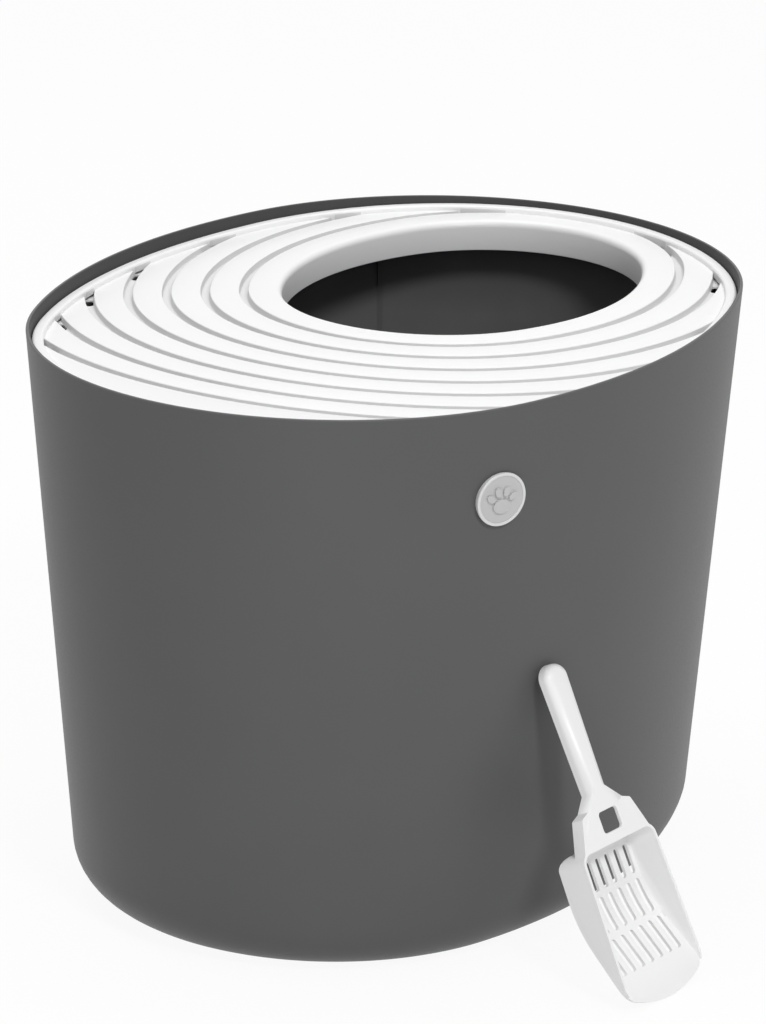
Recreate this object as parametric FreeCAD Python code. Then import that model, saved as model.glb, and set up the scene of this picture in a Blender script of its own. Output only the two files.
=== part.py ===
"""Top-entry litter box: a tapered oval tub, a grooved drop-in lid, a slotted scoop, a badge and rubber feet.

Millimetres, +Z up. The origin is on the floor under the middle of the tub, and +X runs along the
long axis of the oval towards the entry hole.
"""
import FreeCAD, Part
import math
import os
from dataclasses import dataclass

from FreeCAD import Placement, Rotation, Vector

# Tub
RIM_LENGTH = 520.0          # outside of the rim, along X
RIM_WIDTH = 410.0           # outside of the rim, along Y
RIM_FLANK_RADIUS = 386.0    # the two long sides of the oval, seen from above
TUB_HEIGHT = 370.0          # floor to rim
BASE_INSET = 30.0           # how far the wall leans in from rim to floor
WALL = 2.5
BASE_THICKNESS = 3.0
BASE_EDGE_RADIUS = 34.0     # round edge between wall and base, outside
BASE_RING_WIDTH = 34.0      # flat ring of the base that surrounds the raised middle
BASE_RISE = 1.5             # middle of the base above the ring
RIM_EDGE_RADIUS = 0.9
RIB_THICKNESS = 3.0         # gussets inside the wall that carry the lid
RIB_DEPTH = 10.0
RIB_DROP = 48.0
RIB_END_ANGLE = 42.0        # gussets on the round ends, from the long axis
RIB_FLANK_ANGLE = 9.0       # gussets on the long sides, from the short axis

# Rubber feet, set in round pockets in the ring of the base
FOOT_DIAMETER = 20.0
FOOT_THICKNESS = 3.0
FOOT_PROUD = 1.0            # floor to the ring of the base
FOOT_EDGE = 0.6
FOOT_CLEARANCE = 0.2
FOOT_ANGLE = 50.0           # direction of each foot from the long axis
POCKET_WALL = 2.0

# Lid
LID_RIM_DROP = 6.0          # rim of the tub to the top of the lid's border
LID_CLEARANCE = 0.8         # lid to wall, all round
LID_SEAT_GAP = 0.3          # skirt to the gussets below it
LID_WALL = 2.5
BORDER_WIDTH = 7.5
BORDER_HEIGHT = 3.6         # border above the grooved field
BORDER_EDGE_RADIUS = 2.0
SKIRT_DEPTH = 16.0          # border top to the lower edge of the skirt
SKIRT_WALL = 2.2

# Entry hole, an oval of the same kind, set towards the +X end
HOLE_LENGTH = 270.0
HOLE_WIDTH = 216.0
HOLE_FLANK_RADIUS = 172.0
HOLE_GAP = 17.7             # border to the hole at the +X end
HOLE_EDGE_RADIUS = 4.0
COLLAR_DEPTH = 18.0         # field to the lower edge of the collar
COLLAR_WALL = 2.5

# Grooves that follow the hole at even steps, each ending in two drain holes
GROOVE_FIRST = 21.0         # hole edge to the middle of the first groove
GROOVE_PITCH = 24.7
GROOVE_END_GAP = 27.0       # least field between the last groove and the border
GROOVE_TOP_WIDTH = 6.4
GROOVE_BOTTOM_WIDTH = 4.2
GROOVE_DEPTH = 2.6
GROOVE_WALL = 2.0           # channel wall under, beside and past the end of the groove
GROOVE_SETBACK = 2.5        # border to the end of a groove
DRAIN_WIDTH = 4.0
DRAIN_LENGTH = 10.0
DRAIN_SETBACK = 0.6         # end of the groove to the drain hole

# Badge and its adhesive pad
BADGE_DIAMETER = 38.0
BADGE_ANGLE = 61.5          # round from the -X end towards -Y
BADGE_DROP = 58.0           # rim down to the middle of the badge
BADGE_PLATE = 1.8
BADGE_RIM_WIDTH = 2.2
BADGE_RIM_HEIGHT = 0.9
PAD_DIAMETER = 33.0
PAD_THICKNESS = 1.0         # at the middle, where the wall comes nearest
PAW_RELIEF = 0.7
PAW_PAD_LENGTH = 13.0
PAW_PAD_WIDTH = 10.0
PAW_PAD_DROP = 4.5          # middle of the badge down to the middle of the main pad
PAW_TOES = 4
PAW_TOE_LENGTH = 7.0
PAW_TOE_WIDTH = 4.6
PAW_TOE_RADIUS = 10.5       # main pad to the middles of the toes
PAW_TOE_STEP = 36.0         # degrees from toe to toe

# Scoop, in its own frame: X across, Y from the lip up to the handle, Z out of the bowl
SCOOP_WALL = 2.0
BLADE_LENGTH = 102.0        # lip to the rear wall, outside
BLADE_REAR_WIDTH = 75.0
BLADE_FRONT_WIDTH = 82.0
BLADE_DRAFT = 2.0           # each side, over the depth of the bowl
BLADE_DEPTH = 20.4          # rim to the inside of the floor
BLADE_REAR_RADIUS = 6.0     # rear wall to floor, inside
BLADE_CORNER_RADIUS = 9.0   # rear wall to side walls, outside
FLOOR_RISE_ANGLE = 24.0     # slope of the floor towards the lip
FLOOR_BEND_RADIUS = 80.0
LIP_DROP = 1.0              # rim to the lip
LIP_LENGTH = 13.0           # level part of the floor behind the lip
LIP_BEND_RADIUS = 40.0
LIP_BOW = 10.4
LIP_CORNER_RADIUS = 12.0
HANDLE_LENGTH = 114.0       # rear wall to the end of the handle
HANDLE_WIDTH = 18.4
HANDLE_NECK_WIDTH = 15.9
HANDLE_DEPTH = 8.5
HANDLE_EDGE_RADIUS = 5.0
NECK_RISE = 31.0            # rear wall to where the handle starts to widen
SHOULDER_WIDTH = 50.4
SHOULDER_RISE = 19.8
SHOULDER_FOOT = 8.3         # rear wall down to where the shoulder meets the side walls
SHOULDER_CORNER_RADIUS = 2.5
NOTCH_WIDTH = 36.0
NOTCH_RISE = 22.2
WINDOW_WIDTH = 18.7
WINDOW_HEIGHT = 13.8
WINDOW_GAP = 5.3            # rear wall to the window
WINDOW_CORNER_RADIUS = 2.5
SLOT_PITCH = 9.65
SLOT_WIDTH = 4.6
SLOT_LENGTH = 20.5
SLOT_BRIDGE = 3.6           # floor left between two rows
SLOT_CORNER_RADIUS = 1.6
SLOT_GAP = 10.4             # rear wall to the upper end of the top row
SLOT_LIP_GAP = 17.0         # least floor left between the lowest row and the lip
SLOT_SIDE_GAP = 1.0         # least floor left between a side wall and the nearest slot
SCOOP_X = -112.0            # handle end along the tub
SCOOP_LEAN = 25.5           # degrees from upright
SCOOP_TURN = -7.5           # degrees about the vertical
SCOOP_CLEARANCE = 0.4       # handle to the wall that it leans on

# How the forms are joined, found and fitted
OVERLAP = 1.0               # how far fused forms reach into each other
SAME_PLACE = 1e-3           # places closer than this count as one
ROUND_LIMIT = 0.45          # most of a cut's width that its corner radius may take
SEARCH_STEPS = 50           # halvings in the search for the end of a groove
SETTLE_STEPS = 8            # moves that bring the scoop up to the wall
UP = Vector(0, 0, 1)


@dataclass(frozen=True)
class Oval:
    """A smooth oval of four tangent arcs: two round ends and two flatter flanks."""

    length: float
    width: float
    flank_radius: float
    centre_x: float = 0.0

    @property
    def end_radius(self):
        """Radius of the round ends that makes them tangent to the flanks."""
        half_length, half_width = self.length / 2, self.width / 2
        excess = 2 * self.flank_radius * half_width - half_length ** 2 - half_width ** 2
        return excess / (2 * (self.flank_radius - half_length))

    @property
    def end_reach(self):
        """Distance from the middle of the oval to the centre of each round end."""
        return self.length / 2 - self.end_radius

    @property
    def flank_reach(self):
        """Distance from the long axis to the centre of the flank on its other side."""
        return self.flank_radius - self.width / 2

    @property
    def joint_angle(self):
        """Angle from the long axis at which an end turns into a flank."""
        return math.atan2(self.flank_reach, self.end_reach)

    def arc_at(self, angle):
        """Centre and radius of the arc whose outward normal takes this angle in radians."""
        side = abs(math.atan2(math.sin(angle), math.cos(angle)))
        if side < self.joint_angle:
            return Vector(self.centre_x + self.end_reach, 0, 0), self.end_radius
        if side > math.pi - self.joint_angle:
            return Vector(self.centre_x - self.end_reach, 0, 0), self.end_radius
        centre_y = -math.copysign(self.flank_reach, math.sin(angle))
        return Vector(self.centre_x, centre_y, 0), self.flank_radius

    def point(self, angle, inset=0.0, z=0.0):
        """Point of the oval, moved in by inset, whose outward normal has this angle in radians."""
        centre, radius = self.arc_at(angle)
        outward = Vector(math.cos(angle), math.sin(angle), 0)
        return centre + outward * (radius - inset) + UP * z

    def turn_along(self, angle, inset, run):
        """Angle that a run along the oval, moved in by inset, turns through."""
        return run / (self.arc_at(angle)[1] - inset)

    def depth_inside(self, point):
        """How far a point lies inside the oval."""
        x, y = point.x - self.centre_x, abs(point.y)
        side = math.atan2(y + self.flank_reach, x)
        if self.joint_angle < side < math.pi - self.joint_angle:
            return self.flank_radius - math.hypot(x, y + self.flank_reach)
        end_x = math.copysign(self.end_reach, x)
        return self.end_radius - math.hypot(x - end_x, y)

    def wire(self, inset, z):
        """Closed wire of the oval, moved in by inset, at height z."""
        joints = [self.joint_angle, math.pi - self.joint_angle,
                  math.pi + self.joint_angle, 2 * math.pi - self.joint_angle]
        edges = []
        for start, end in zip(joints, joints[1:] + [joints[0] + 2 * math.pi]):
            middle = (start + end) / 2
            ends = [self.joint_point(angle, inset, z) for angle in (start, end)]
            edges.append(Part.Arc(ends[0], self.point(middle, inset, z), ends[1]).toShape())
        return Part.Wire(edges)

    def joint_point(self, angle, inset, z):
        """Point where two arcs meet, taken from the round end so that both arcs share it."""
        end_x = math.copysign(self.end_reach, math.cos(angle))
        radius = self.end_radius - inset
        return Vector(self.centre_x + end_x + radius * math.cos(angle), radius * math.sin(angle), z)

    def solid(self, low_inset, low_z, high_inset, high_z):
        """Solid between two heights, whose wall leans evenly from one inset to the other."""
        wires = [self.wire(low_inset, low_z), self.wire(high_inset, high_z)]
        return Part.makeLoft(wires, True, True)

    def ring(self, outer, inner, low_z, high_z):
        """Upright ring between two insets."""
        return self.solid(outer, low_z, outer, high_z).cut(
            self.solid(inner, low_z - OVERLAP, inner, high_z + OVERLAP))


RIM = Oval(RIM_LENGTH, RIM_WIDTH, RIM_FLANK_RADIUS)
WALL_SLOPE = BASE_INSET / TUB_HEIGHT
FLOOR_TOP = FOOT_PROUD + BASE_THICKNESS
BORDER_TOP = TUB_HEIGHT - LID_RIM_DROP
FIELD_TOP = BORDER_TOP - BORDER_HEIGHT
SKIRT_BOTTOM = BORDER_TOP - SKIRT_DEPTH
RIB_TOP = SKIRT_BOTTOM - LID_SEAT_GAP
SCOOP_LENGTH = BLADE_LENGTH + HANDLE_LENGTH


def wall_inset(z):
    """How far the outside of the tub wall lies in from the rim at height z."""
    return WALL_SLOPE * (TUB_HEIGHT - z)


def lid_inset(z):
    """How far the outside of the lid lies in from the rim at height z."""
    return wall_inset(z) + WALL + LID_CLEARANCE


BASE_RING_INSET = wall_inset(FOOT_PROUD) + BASE_EDGE_RADIUS
BASE_MIDDLE_INSET = BASE_RING_INSET + BASE_RING_WIDTH
LID_EDGE = lid_inset(BORDER_TOP)
FIELD_EDGE = LID_EDGE + BORDER_WIDTH
HOLE_X = RIM_LENGTH / 2 - FIELD_EDGE - HOLE_GAP - HOLE_LENGTH / 2
HOLE = Oval(HOLE_LENGTH, HOLE_WIDTH, HOLE_FLANK_RADIUS, HOLE_X)


def edges_at_height(shape, z):
    """Edges that lie flat at height z."""
    return [edge for edge in shape.Edges
            if abs(edge.BoundBox.ZMin - z) < SAME_PLACE and abs(edge.BoundBox.ZMax - z) < SAME_PLACE]


def round_at_height(shape, z, radius):
    """Round every edge that lies flat at height z."""
    return shape.makeFillet(radius, edges_at_height(shape, z))


def extruded(points, vector):
    """Prism on a closed polygon."""
    return Part.Face(Part.makePolygon(points + points[:1])).extrude(vector)


def one_solid(shape):
    """The only solid of a shape, with its split faces joined."""
    (solid,) = shape.removeSplitter().Solids
    return solid


def fused(shapes):
    """One solid from shapes that overlap."""
    return one_solid(shapes[0].multiFuse(shapes[1:]))


def tub_envelope():
    """The tub as if it were solid: leaning wall with a round base edge."""
    block = RIM.solid(wall_inset(FOOT_PROUD), FOOT_PROUD, 0, TUB_HEIGHT)
    return round_at_height(block, FOOT_PROUD, BASE_EDGE_RADIUS)


def tub_cavity():
    """The space inside the tub."""
    top_z = TUB_HEIGHT + OVERLAP
    block = RIM.solid(wall_inset(FLOOR_TOP) + WALL, FLOOR_TOP, wall_inset(top_z) + WALL, top_z)
    return round_at_height(block, FLOOR_TOP, BASE_EDGE_RADIUS - WALL)


def base_step(low_z, low_inset, high_inset):
    """Slab with a sloping edge, as high as the rise of the middle of the base."""
    return RIM.solid(low_inset, low_z, high_inset, low_z + BASE_RISE)


def lid_rib(angle):
    """Gusset on the inside of the wall, square to it, with a flat top for the lid."""
    outward = Vector(math.cos(angle), math.sin(angle), 0)
    along = UP.cross(outward)
    top = RIM.point(angle, wall_inset(RIB_TOP) + WALL / 2, RIB_TOP)
    bottom = RIM.point(angle, wall_inset(RIB_TOP - RIB_DROP) + WALL / 2, RIB_TOP - RIB_DROP)
    nose = RIM.point(angle, wall_inset(RIB_TOP) + WALL + RIB_DEPTH, RIB_TOP)
    half = along * (RIB_THICKNESS / 2)
    return extruded([point - half for point in (top, bottom, nose)], along * RIB_THICKNESS)


def rib_angles():
    """Directions of the eight gussets: two on each round end and two on each flank."""
    ends = [RIB_END_ANGLE, 180 - RIB_END_ANGLE, 180 + RIB_END_ANGLE, 360 - RIB_END_ANGLE]
    flanks = [90 - RIB_FLANK_ANGLE, 90 + RIB_FLANK_ANGLE, 270 - RIB_FLANK_ANGLE, 270 + RIB_FLANK_ANGLE]
    return [math.radians(angle) for angle in ends + flanks]


def foot_places():
    """Middle of each foot on the floor, by name."""
    reach = BASE_RING_INSET + BASE_RING_WIDTH / 2
    turns = {"rear_right": FOOT_ANGLE, "rear_left": 180 - FOOT_ANGLE,
             "front_left": 180 + FOOT_ANGLE, "front_right": 360 - FOOT_ANGLE}
    return {f"rubber_foot_{corner}": RIM.point(math.radians(turn), reach) for corner, turn in turns.items()}


def foot_boss(place):
    """Low round boss inside the tub that backs one pocket."""
    radius = FOOT_DIAMETER / 2 + FOOT_CLEARANCE + POCKET_WALL
    return Part.makeCylinder(radius, FOOT_THICKNESS, place + UP * (FLOOR_TOP - FOOT_PROUD))


def foot_pocket(place):
    """Round pocket under the base that holds one foot."""
    radius = FOOT_DIAMETER / 2 + FOOT_CLEARANCE
    return Part.makeCylinder(radius, FOOT_THICKNESS, place)


def make_tub():
    """Dark moulded bucket with the lid's gussets inside, a raised middle and pockets for the feet."""
    shell = tub_envelope().cut(tub_cavity())
    shell = round_at_height(shell, TUB_HEIGHT, RIM_EDGE_RADIUS)
    ribs = [lid_rib(angle) for angle in rib_angles()]
    bosses = [foot_boss(place) for place in foot_places().values()]
    inner_step = base_step(FLOOR_TOP, BASE_MIDDLE_INSET, BASE_MIDDLE_INSET + BASE_RISE)
    body = fused([shell, inner_step] + ribs + bosses)
    pockets = [foot_pocket(place) for place in foot_places().values()]
    outer_step = base_step(FOOT_PROUD, BASE_MIDDLE_INSET, BASE_MIDDLE_INSET + BASE_RISE)
    return one_solid(body.cut(pockets + [outer_step]))


def make_foot(place):
    """Rubber disc with a softened lower edge."""
    disc = Part.makeCylinder(FOOT_DIAMETER / 2, FOOT_THICKNESS, place)
    return round_at_height(disc, 0, FOOT_EDGE)


def groove_offsets():
    """Distance of each groove from the hole, out to the far end of the field."""
    reach = HOLE_X - HOLE_LENGTH / 2 + RIM_LENGTH / 2 - FIELD_EDGE - GROOVE_END_GAP
    count = 1 + int((reach - GROOVE_FIRST) // GROOVE_PITCH)
    return [GROOVE_FIRST + GROOVE_PITCH * step for step in range(count)]


def groove_end(offset):
    """Direction, seen from the hole, in which a groove stops short of the border."""
    outside, inside = 0.0, math.pi
    for _ in range(SEARCH_STEPS):
        middle = (outside + inside) / 2
        if RIM.depth_inside(HOLE.point(middle, -offset - GROOVE_TOP_WIDTH / 2)) > FIELD_EDGE + GROOVE_SETBACK:
            inside = middle
        else:
            outside = middle
    return inside


def channel(offset, end, top_half, top_z, bottom_half, bottom_z):
    """Run that follows the hole at an offset from one end to the other, narrowing downwards."""
    outer = HOLE.solid(-offset - bottom_half, bottom_z, -offset - top_half, top_z)
    ring = outer.cut(HOLE.solid(-offset + bottom_half, bottom_z, -offset + top_half, top_z))
    far = 2 * RIM_LENGTH
    low = bottom_z - OVERLAP
    corners = [HOLE.point(end, 0, low), HOLE.point(end, -far, low), Vector(far, far, low),
               Vector(far, -far, low), HOLE.point(-end, -far, low), HOLE.point(-end, 0, low)]
    return ring.cut(extruded(corners, UP * (top_z - bottom_z + 2 * OVERLAP)))


def groove_cut(offset):
    """What one groove takes out of the field."""
    slope = (GROOVE_TOP_WIDTH - GROOVE_BOTTOM_WIDTH) / 2 / GROOVE_DEPTH
    top_half = GROOVE_TOP_WIDTH / 2 + slope * OVERLAP
    bottom_half = GROOVE_BOTTOM_WIDTH / 2
    bottom_z = FIELD_TOP - GROOVE_DEPTH
    return channel(offset, groove_end(offset), top_half, FIELD_TOP + OVERLAP, bottom_half, bottom_z)


def groove_bead(offset):
    """Thickening under one groove, which keeps the wall even."""
    end = groove_end(offset)
    end -= HOLE.turn_along(end, -offset, GROOVE_WALL)
    top_half = GROOVE_TOP_WIDTH / 2 + GROOVE_WALL
    bottom_half = GROOVE_BOTTOM_WIDTH / 2 + GROOVE_WALL
    bottom_z = FIELD_TOP - GROOVE_DEPTH - GROOVE_WALL
    return channel(offset, end, top_half, FIELD_TOP - LID_WALL / 2, bottom_half, bottom_z)


def drain_hole(offset, side):
    """Slot through the bottom of a groove, at one end of it."""
    end = groove_end(offset)
    angle = side * (end + HOLE.turn_along(end, -offset, DRAIN_SETBACK + DRAIN_LENGTH / 2))
    place = HOLE.point(angle, -offset, FIELD_TOP - GROOVE_DEPTH - GROOVE_WALL - OVERLAP)
    half_run = (DRAIN_LENGTH - DRAIN_WIDTH) / 2
    height = GROOVE_DEPTH + GROOVE_WALL + 2 * OVERLAP
    rounds = [Part.makeCylinder(DRAIN_WIDTH / 2, height, Vector(0, y, 0)) for y in (-half_run, half_run)]
    middle = Part.makeBox(DRAIN_WIDTH, 2 * half_run, height, Vector(-DRAIN_WIDTH / 2, -half_run, 0))
    slot = rounds[0].multiFuse([middle, rounds[1]]).removeSplitter()
    slot.Placement = Placement(place, Rotation(UP, math.degrees(angle)))
    return slot


def make_lid():
    """White drop-in lid: border and skirt, grooved field, entry hole with its collar."""
    field_bottom = FIELD_TOP - LID_WALL
    border = RIM.solid(LID_EDGE, field_bottom, LID_EDGE, BORDER_TOP)
    well = RIM.solid(FIELD_EDGE, FIELD_TOP, FIELD_EDGE, BORDER_TOP + OVERLAP)
    body = round_at_height(border.cut(well), BORDER_TOP, BORDER_EDGE_RADIUS)
    hollow_outer = LID_EDGE + SKIRT_WALL
    hollow_inner = FIELD_EDGE - SKIRT_WALL
    body = body.cut(RIM.ring(hollow_outer, hollow_inner, field_bottom - OVERLAP, BORDER_TOP - LID_WALL))
    skirt_top = field_bottom + LID_WALL / 2
    skirt = RIM.solid(lid_inset(SKIRT_BOTTOM), SKIRT_BOTTOM, LID_EDGE, skirt_top).cut(
        RIM.solid(lid_inset(SKIRT_BOTTOM) + SKIRT_WALL, SKIRT_BOTTOM, LID_EDGE + SKIRT_WALL, skirt_top))
    collar = HOLE.ring(-COLLAR_WALL, 0, FIELD_TOP - COLLAR_DEPTH, FIELD_TOP - LID_WALL / 2)
    beads = [groove_bead(offset) for offset in groove_offsets()]
    body = fused([body, skirt, collar] + beads)
    through = HOLE.solid(0, FIELD_TOP - COLLAR_DEPTH - OVERLAP, 0, FIELD_TOP + OVERLAP)
    body = body.cut(through)
    hole_edges = [edge for edge in edges_at_height(body, FIELD_TOP)
                  if all(abs(HOLE.depth_inside(vertex.Point)) < SAME_PLACE for vertex in edge.Vertexes)]
    body = body.makeFillet(HOLE_EDGE_RADIUS, hole_edges)
    cuts = [groove_cut(offset) for offset in groove_offsets()]
    drains = [drain_hole(offset, side) for offset in groove_offsets() for side in (1, -1)]
    return one_solid(body.cut(cuts + drains))


def on_wall(shape):
    """Put a shape modelled on its own Z axis on the tub wall, at the badge's place."""
    angle = math.pi + math.radians(BADGE_ANGLE)
    height = TUB_HEIGHT - BADGE_DROP
    place = RIM.point(angle, wall_inset(height), height)
    across = Vector(math.cos(angle), math.sin(angle), 0)
    up_wall = across * WALL_SLOPE + UP
    outward = across - UP * WALL_SLOPE
    turned = Rotation(UP.cross(across), up_wall, outward, "ZYX")
    shape.Placement = Placement(place, turned)
    return shape


def make_badge_pad():
    """Foam pad whose back follows the wall and whose face is flat."""
    radius = PAD_DIAMETER / 2
    pad = Part.makeCylinder(radius, radius + PAD_THICKNESS, UP * -radius)
    return one_solid(on_wall(pad).cut(tub_envelope()))


def oval_pad(length, width, height, place, turn):
    """Flat elliptical pad, longest along its own Y before it is turned about Z."""
    outline = Part.Ellipse(Vector(), max(length, width) / 2, min(length, width) / 2)
    pad = Part.Face(Part.Wire(outline.toShape())).extrude(UP * height)
    quarter_turn = 90 if length > width else 0
    pad.Placement = Placement(place, Rotation(UP, turn + quarter_turn))
    return pad


def make_badge():
    """Disc with a raised rim and a plain raised paw print."""
    plate_top = PAD_THICKNESS + BADGE_PLATE
    radius = BADGE_DIAMETER / 2
    disc = Part.makeCylinder(radius, BADGE_PLATE + BADGE_RIM_HEIGHT, UP * PAD_THICKNESS)
    dish = Part.makeCylinder(radius - BADGE_RIM_WIDTH, BADGE_RIM_HEIGHT + OVERLAP, UP * plate_top)
    start = UP * (plate_top - BADGE_PLATE / 2)
    relief = BADGE_PLATE / 2 + PAW_RELIEF
    middle = Vector(0, -PAW_PAD_DROP, 0)
    pads = [oval_pad(PAW_PAD_WIDTH, PAW_PAD_LENGTH, relief, start + middle, 0)]
    for toe in range(PAW_TOES):
        turn = (toe - (PAW_TOES - 1) / 2) * PAW_TOE_STEP
        toward = Rotation(UP, turn).multVec(Vector(0, PAW_TOE_RADIUS, 0))
        pads.append(oval_pad(PAW_TOE_LENGTH, PAW_TOE_WIDTH, relief, start + middle + toward, turn))
    return on_wall(fused([disc.cut(dish)] + pads))


def blade_prism(drop):
    """Side view of the bowl, drawn out across it: drop 0 is the inside, one wall is the outside."""
    angle = math.radians(FLOOR_RISE_ANGLE)
    lip_z = -LIP_DROP - drop
    floor_z = -BLADE_DEPTH - drop
    front_y = -OVERLAP
    crest_y = LIP_LENGTH - drop * math.tan(angle / 2)
    bend_y = crest_y + (BLADE_DEPTH - LIP_DROP) / math.tan(angle)
    rear_y = BLADE_LENGTH - SCOOP_WALL + drop
    top_z = 0 if drop else OVERLAP
    outline = [(front_y, lip_z), (crest_y, lip_z), (bend_y, floor_z), (rear_y, floor_z), (rear_y, top_z),
               (front_y, top_z)]
    width = max(BLADE_FRONT_WIDTH, BLADE_REAR_WIDTH) + 2 * OVERLAP
    prism = extruded([Vector(-width / 2, y, z) for y, z in outline], Vector(width, 0, 0))
    prism = round_across(prism, outline[1], LIP_BEND_RADIUS - drop)
    prism = round_across(prism, outline[2], FLOOR_BEND_RADIUS + drop)
    return round_across(prism, outline[3], BLADE_REAR_RADIUS + drop)


def round_across(shape, corner, radius):
    """Round the edge that runs across the scoop through a corner of the side view."""
    y, z = corner
    edges = [edge for edge in shape.Edges
             if all(math.hypot(vertex.Y - y, vertex.Z - z) < SAME_PLACE for vertex in edge.Vertexes)]
    return shape.makeFillet(radius, edges)


def blade_plan_wire(inset, draft, front_y, z):
    """Outline of the bowl seen from above, with its bowed lip."""
    rear = BLADE_REAR_WIDTH / 2 - inset - draft
    front = BLADE_FRONT_WIDTH / 2 - inset - draft
    rear_y = BLADE_LENGTH - inset
    corner = Vector(front, front_y + LIP_BOW, z)
    other = Vector(-front, front_y + LIP_BOW, z)
    edges = [Part.LineSegment(Vector(rear, rear_y, z), corner),
             Part.Arc(corner, Vector(0, front_y, z), other),
             Part.LineSegment(other, Vector(-rear, rear_y, z)),
             Part.LineSegment(Vector(-rear, rear_y, z), Vector(rear, rear_y, z))]
    return Part.Wire([edge.toShape() for edge in edges])


def upright_edges(shape, height, low_y, high_y):
    """Edges taller than a height whose middle lies between two distances from the lip."""
    return [edge for edge in shape.Edges
            if edge.BoundBox.ZLength > height and low_y < edge.CenterOfMass.y < high_y]


def blade_plan(inset, front_y, top_z):
    """Bowl seen from above, drawn down with the draft of its side walls and round at the rear."""
    bottom = blade_plan_wire(inset, BLADE_DRAFT, front_y, -BLADE_DEPTH - 2 * SCOOP_WALL)
    top = blade_plan_wire(inset, 0, front_y, top_z)
    plan = Part.makeLoft([bottom, top], True, True)
    rear = upright_edges(plan, BLADE_DEPTH, BLADE_LENGTH / 2, SCOOP_LENGTH)
    return plan.makeFillet(BLADE_CORNER_RADIUS - inset, rear)


def bowl_outside():
    """The bowl as a solid block, with a floor that rises to the lip."""
    plan = blade_plan(0, 0, 0)
    lip = upright_edges(plan, BLADE_DEPTH, -OVERLAP, BLADE_LENGTH / 2)
    return blade_prism(SCOOP_WALL).common(plan.makeFillet(LIP_CORNER_RADIUS, lip))


def bowl_inside():
    """The space inside the bowl, open at the top and over the lip."""
    return blade_prism(0).common(blade_plan(SCOOP_WALL, -2 * OVERLAP, OVERLAP))


def handle_face():
    """Outline of the handle and shoulder, seen from above."""
    half = HANDLE_WIDTH / 2
    steps = [((BLADE_REAR_WIDTH - SCOOP_WALL) / 2, -SHOULDER_FOOT), (SHOULDER_WIDTH / 2, SHOULDER_RISE),
             (NOTCH_WIDTH / 2, NOTCH_RISE), (HANDLE_NECK_WIDTH / 2, NECK_RISE), (half, HANDLE_LENGTH - half)]
    right = [Vector(x, BLADE_LENGTH + rise, 0) for x, rise in steps]
    left = [Vector(-point.x, point.y, 0) for point in reversed(right)]
    lines = [Part.LineSegment(start, end).toShape()
             for side in (right, left) for start, end in zip(side, side[1:])]
    tip = Part.Arc(right[-1], Vector(0, SCOOP_LENGTH, 0), left[0]).toShape()
    foot = Part.LineSegment(left[-1], right[0]).toShape()
    count = len(right) - 1
    return Part.Face(Part.Wire(lines[:count] + [tip] + lines[count:] + [foot]))


def handle_edges(shape, z):
    """Long edges of the handle at a height, from the neck to the tip."""
    return [edge for edge in edges_at_height(shape, z) if edge.CenterOfMass.y > BLADE_LENGTH + NECK_RISE]


def make_handle():
    """Round-backed channel handle that widens into the shoulder plate, hollow from below."""
    face = handle_face()
    block = face.extrude(UP * -HANDLE_DEPTH)
    neck_y = BLADE_LENGTH + NECK_RISE
    corners = upright_edges(block, HANDLE_DEPTH / 2, BLADE_LENGTH, neck_y - OVERLAP)
    block = block.makeFillet(SHOULDER_CORNER_RADIUS, corners)
    block = block.makeFillet(HANDLE_EDGE_RADIUS, handle_edges(block, 0))
    hollow = face.makeOffset2D(-SCOOP_WALL).extrude(UP * (SCOOP_WALL - HANDLE_DEPTH - OVERLAP))
    hollow.translate(UP * -SCOOP_WALL)
    hollow = hollow.makeFillet(HANDLE_EDGE_RADIUS - SCOOP_WALL, handle_edges(hollow, -SCOOP_WALL))
    return block.cut(hollow)


def slot_prism(width, length, height, corner_radius):
    """Upright prism with rounded corners, its lower end at the origin and longest along Y."""
    box = Part.makeBox(width, length, height, Vector(-width / 2, 0, 0))
    upright = [edge for edge in box.Edges if edge.BoundBox.ZLength > height / 2]
    return box.makeFillet(min(corner_radius, ROUND_LIMIT * min(width, length)), upright)


def slot_places():
    """Lower end of each slot, seen from above: as many rows and columns as the floor has room for."""
    floor_width = BLADE_REAR_WIDTH - 2 * (BLADE_DRAFT + SCOOP_WALL + SLOT_SIDE_GAP)
    columns = 1 + int((floor_width - SLOT_WIDTH) // SLOT_PITCH)
    row_pitch = SLOT_LENGTH + SLOT_BRIDGE
    top_y = BLADE_LENGTH - SLOT_GAP - SLOT_LENGTH
    rows = 1 + int((top_y - SLOT_LIP_GAP) // row_pitch)
    return [((column - (columns - 1) / 2) * SLOT_PITCH, top_y - row * row_pitch)
            for row in range(rows) for column in range(columns)]


def scoop_cuts():
    """The window in the shoulder and the rows of slots in the floor of the bowl."""
    depth = BLADE_DEPTH + 2 * SCOOP_WALL
    window = slot_prism(WINDOW_WIDTH, WINDOW_HEIGHT, depth, WINDOW_CORNER_RADIUS)
    window.translate(Vector(0, BLADE_LENGTH + WINDOW_GAP, -depth / 2))
    cuts = [window]
    for x, y in slot_places():
        slot = slot_prism(SLOT_WIDTH, SLOT_LENGTH, depth, SLOT_CORNER_RADIUS)
        slot.translate(Vector(x, y, -depth))
        cuts.append(slot)
    return cuts


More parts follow.
